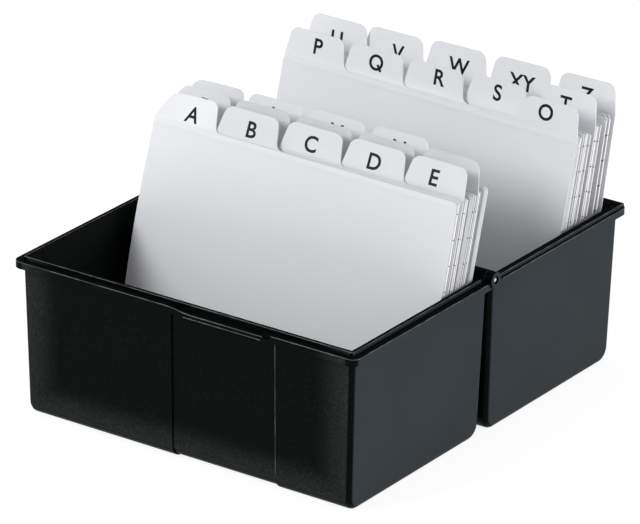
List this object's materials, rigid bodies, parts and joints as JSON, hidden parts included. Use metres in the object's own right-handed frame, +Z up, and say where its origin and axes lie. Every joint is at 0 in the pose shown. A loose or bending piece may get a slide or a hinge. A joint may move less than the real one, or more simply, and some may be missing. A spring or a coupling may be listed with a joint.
{
  "type": "card index box",
  "caption": "Hinged two-half card index tray lying open, filed with A to Z tabbed guides and ruled cards for A6 index cards.",
  "frame": {"origin": "middle of the front half's underside, on the table", "axes": "+X along the cards to the right, +Y from the front half to the rear half (lid), +Z up"},
  "size_m": [0.1656, 0.1944, 0.1171],
  "materials": {
    "black_plastic": "satin moulded black plastic",
    "pin_steel": "plain bright steel rod",
    "guide_plastic": "satin pale grey plastic sheet",
    "ruled_card": "smooth ruled card stock"
  },
  "bodies": {
    "front_tray": {"front_tray": "black_plastic", "hinge_pin": "pin_steel"},
    "rear_tray": {"rear_tray": "black_plastic"},
    "guide_a": {"guide_a": "guide_plastic"},
    "guide_b": {"guide_b": "guide_plastic"},
    "cards_01": {"cards_01": "ruled_card"},
    "guide_c": {"guide_c": "guide_plastic"},
    "guide_d": {"guide_d": "guide_plastic"},
    "guide_e": {"guide_e": "guide_plastic"},
    "cards_02": {"cards_02": "ruled_card"},
    "guide_f": {"guide_f": "guide_plastic"},
    "guide_g": {"guide_g": "guide_plastic"},
    "guide_h": {"guide_h": "guide_plastic"},
    "guide_i": {"guide_i": "guide_plastic"},
    "cards_03": {"cards_03": "ruled_card"},
    "guide_j": {"guide_j": "guide_plastic"},
    "cards_04": {"cards_04": "ruled_card"},
    "guide_k": {"guide_k": "guide_plastic"},
    "guide_l": {"guide_l": "guide_plastic"},
    "guide_m": {"guide_m": "guide_plastic"},
    "guide_n": {"guide_n": "guide_plastic"},
    "guide_o": {"guide_o": "guide_plastic"},
    "guide_p": {"guide_p": "guide_plastic"},
    "guide_q": {"guide_q": "guide_plastic"},
    "guide_r": {"guide_r": "guide_plastic"},
    "cards_05": {"cards_05": "ruled_card"},
    "guide_s": {"guide_s": "guide_plastic"},
    "cards_06": {"cards_06": "ruled_card"},
    "guide_t": {"guide_t": "guide_plastic"},
    "cards_07": {"cards_07": "ruled_card"},
    "guide_u": {"guide_u": "guide_plastic"},
    "cards_08": {"cards_08": "ruled_card"},
    "guide_v": {"guide_v": "guide_plastic"},
    "cards_09": {"cards_09": "ruled_card"},
    "guide_w": {"guide_w": "guide_plastic"},
    "guide_xy": {"guide_xy": "guide_plastic"},
    "guide_z": {"guide_z": "guide_plastic"},
    "cards_10": {"cards_10": "ruled_card"}
  },
  "joints": [
    {"name": "lid_hinge", "type": "hinge", "parent": "front_tray", "child": "rear_tray", "pos_m": [0, 0.047, 0.0676], "axis": [-1, 0, 0], "range_deg": [-145, 2.5]},
    {"name": "guide_a_lift", "type": "slide", "parent": "front_tray", "child": "guide_a", "axis": [0.0063, 0.2418, 0.9703], "range_m": [0, 0.075]},
    {"name": "guide_b_lift", "type": "slide", "parent": "front_tray", "child": "guide_b", "axis": [0.0062, 0.2427, 0.9701], "range_m": [0, 0.075]},
    {"name": "cards_01_lift", "type": "slide", "parent": "front_tray", "child": "cards_01", "axis": [0.0061, 0.2437, 0.9698], "range_m": [0, 0.075]},
    {"name": "guide_c_lift", "type": "slide", "parent": "front_tray", "child": "guide_c", "axis": [0.0059, 0.2456, 0.9694], "range_m": [0, 0.075]},
    {"name": "guide_d_lift", "type": "slide", "parent": "front_tray", "child": "guide_d", "axis": [0.0058, 0.2465, 0.9691], "range_m": [0, 0.075]},
    {"name": "guide_e_lift", "type": "slide", "parent": "front_tray", "child": "guide_e", "axis": [0.0056, 0.2474, 0.9689], "range_m": [0, 0.075]},
    {"name": "cards_02_lift", "type": "slide", "parent": "front_tray", "child": "cards_02", "axis": [0.0055, 0.2483, 0.9687], "range_m": [0, 0.075]},
    {"name": "guide_f_lift", "type": "slide", "parent": "front_tray", "child": "guide_f", "axis": [0.0049, 0.253, 0.9674], "range_m": [0, 0.075]},
    {"name": "guide_g_lift", "type": "slide", "parent": "front_tray", "child": "guide_g", "axis": [0.0047, 0.254, 0.9672], "range_m": [0, 0.075]},
    {"name": "guide_h_lift", "type": "slide", "parent": "front_tray", "child": "guide_h", "axis": [0.0046, 0.2549, 0.967], "range_m": [0, 0.075]},
    {"name": "guide_i_lift", "type": "slide", "parent": "front_tray", "child": "guide_i", "axis": [0.0045, 0.2558, 0.9667], "range_m": [0, 0.075]},
    {"name": "cards_03_lift", "type": "slide", "parent": "front_tray", "child": "cards_03", "axis": [0.0044, 0.2567, 0.9665], "range_m": [0, 0.075]},
    {"name": "guide_j_lift", "type": "slide", "parent": "front_tray", "child": "guide_j", "axis": [0.0041, 0.2589, 0.9659], "range_m": [0, 0.075]},
    {"name": "cards_04_lift", "type": "slide", "parent": "front_tray", "child": "cards_04", "axis": [0.0039, 0.2598, 0.9657], "range_m": [0, 0.075]},
    {"name": "guide_k_lift", "type": "slide", "parent": "front_tray", "child": "guide_k", "axis": [0.0032, 0.2645, 0.9644], "range_m": [0, 0.075]},
    {"name": "guide_l_lift", "type": "slide", "parent": "front_tray", "child": "guide_l", "axis": [0.0031, 0.2654, 0.9641], "range_m": [0, 0.075]},
    {"name": "guide_m_lift", "type": "slide", "parent": "front_tray", "child": "guide_m", "axis": [0.0029, 0.2663, 0.9639], "range_m": [0, 0.075]},
    {"name": "guide_n_lift", "type": "slide", "parent": "front_tray", "child": "guide_n", "axis": [0.0028, 0.2672, 0.9636], "range_m": [0, 0.075]},
    {"name": "guide_o_lift", "type": "slide", "parent": "rear_tray", "child": "guide_o", "axis": [0.0117, 0.2399, 0.9707], "range_m": [0, 0.075]},
    {"name": "guide_p_lift", "type": "slide", "parent": "rear_tray", "child": "guide_p", "axis": [0.0113, 0.2389, 0.971], "range_m": [0, 0.075]},
    {"name": "guide_q_lift", "type": "slide", "parent": "rear_tray", "child": "guide_q", "axis": [0.0109, 0.2379, 0.9712], "range_m": [0, 0.075]},
    {"name": "guide_r_lift", "type": "slide", "parent": "rear_tray", "child": "guide_r", "axis": [0.0105, 0.2368, 0.9715], "range_m": [0, 0.075]},
    {"name": "cards_05_lift", "type": "slide", "parent": "rear_tray", "child": "cards_05", "axis": [0.0101, 0.2358, 0.9717], "range_m": [0, 0.075]},
    {"name": "guide_s_lift", "type": "slide", "parent": "rear_tray", "child": "guide_s", "axis": [0.0094, 0.234, 0.9722], "range_m": [0, 0.075]},
    {"name": "cards_06_lift", "type": "slide", "parent": "rear_tray", "child": "cards_06", "axis": [0.009, 0.233, 0.9724], "range_m": [0, 0.075]},
    {"name": "guide_t_lift", "type": "slide", "parent": "rear_tray", "child": "guide_t", "axis": [0.0058, 0.2242, 0.9745], "range_m": [0, 0.075]},
    {"name": "cards_07_lift", "type": "slide", "parent": "rear_tray", "child": "cards_07", "axis": [0.0054, 0.2231, 0.9748], "range_m": [0, 0.075]},
    {"name": "guide_u_lift", "type": "slide", "parent": "rear_tray", "child": "guide_u", "axis": [0.0025, 0.2145, 0.9767], "range_m": [0, 0.075]},
    {"name": "cards_08_lift", "type": "slide", "parent": "rear_tray", "child": "cards_08", "axis": [0.0022, 0.2134, 0.977], "range_m": [0, 0.075]},
    {"name": "guide_v_lift", "type": "slide", "parent": "rear_tray", "child": "guide_v", "axis": [0.0018, 0.2123, 0.9772], "range_m": [0, 0.075]},
    {"name": "cards_09_lift", "type": "slide", "parent": "rear_tray", "child": "cards_09", "axis": [0.0015, 0.2112, 0.9774], "range_m": [0, 0.075]},
    {"name": "guide_w_lift", "type": "slide", "parent": "rear_tray", "child": "guide_w", "axis": [0.001, 0.2094, 0.9778], "range_m": [0, 0.075]},
    {"name": "guide_xy_lift", "type": "slide", "parent": "rear_tray", "child": "guide_xy", "axis": [0.0006, 0.2083, 0.9781], "range_m": [0, 0.075]},
    {"name": "guide_z_lift", "type": "slide", "parent": "rear_tray", "child": "guide_z", "axis": [0.0003, 0.2073, 0.9783], "range_m": [0, 0.075]},
    {"name": "cards_10_lift", "type": "slide", "parent": "rear_tray", "child": "cards_10", "axis": [0, 0.2062, 0.9785], "range_m": [0, 0.075]}
  ]
}
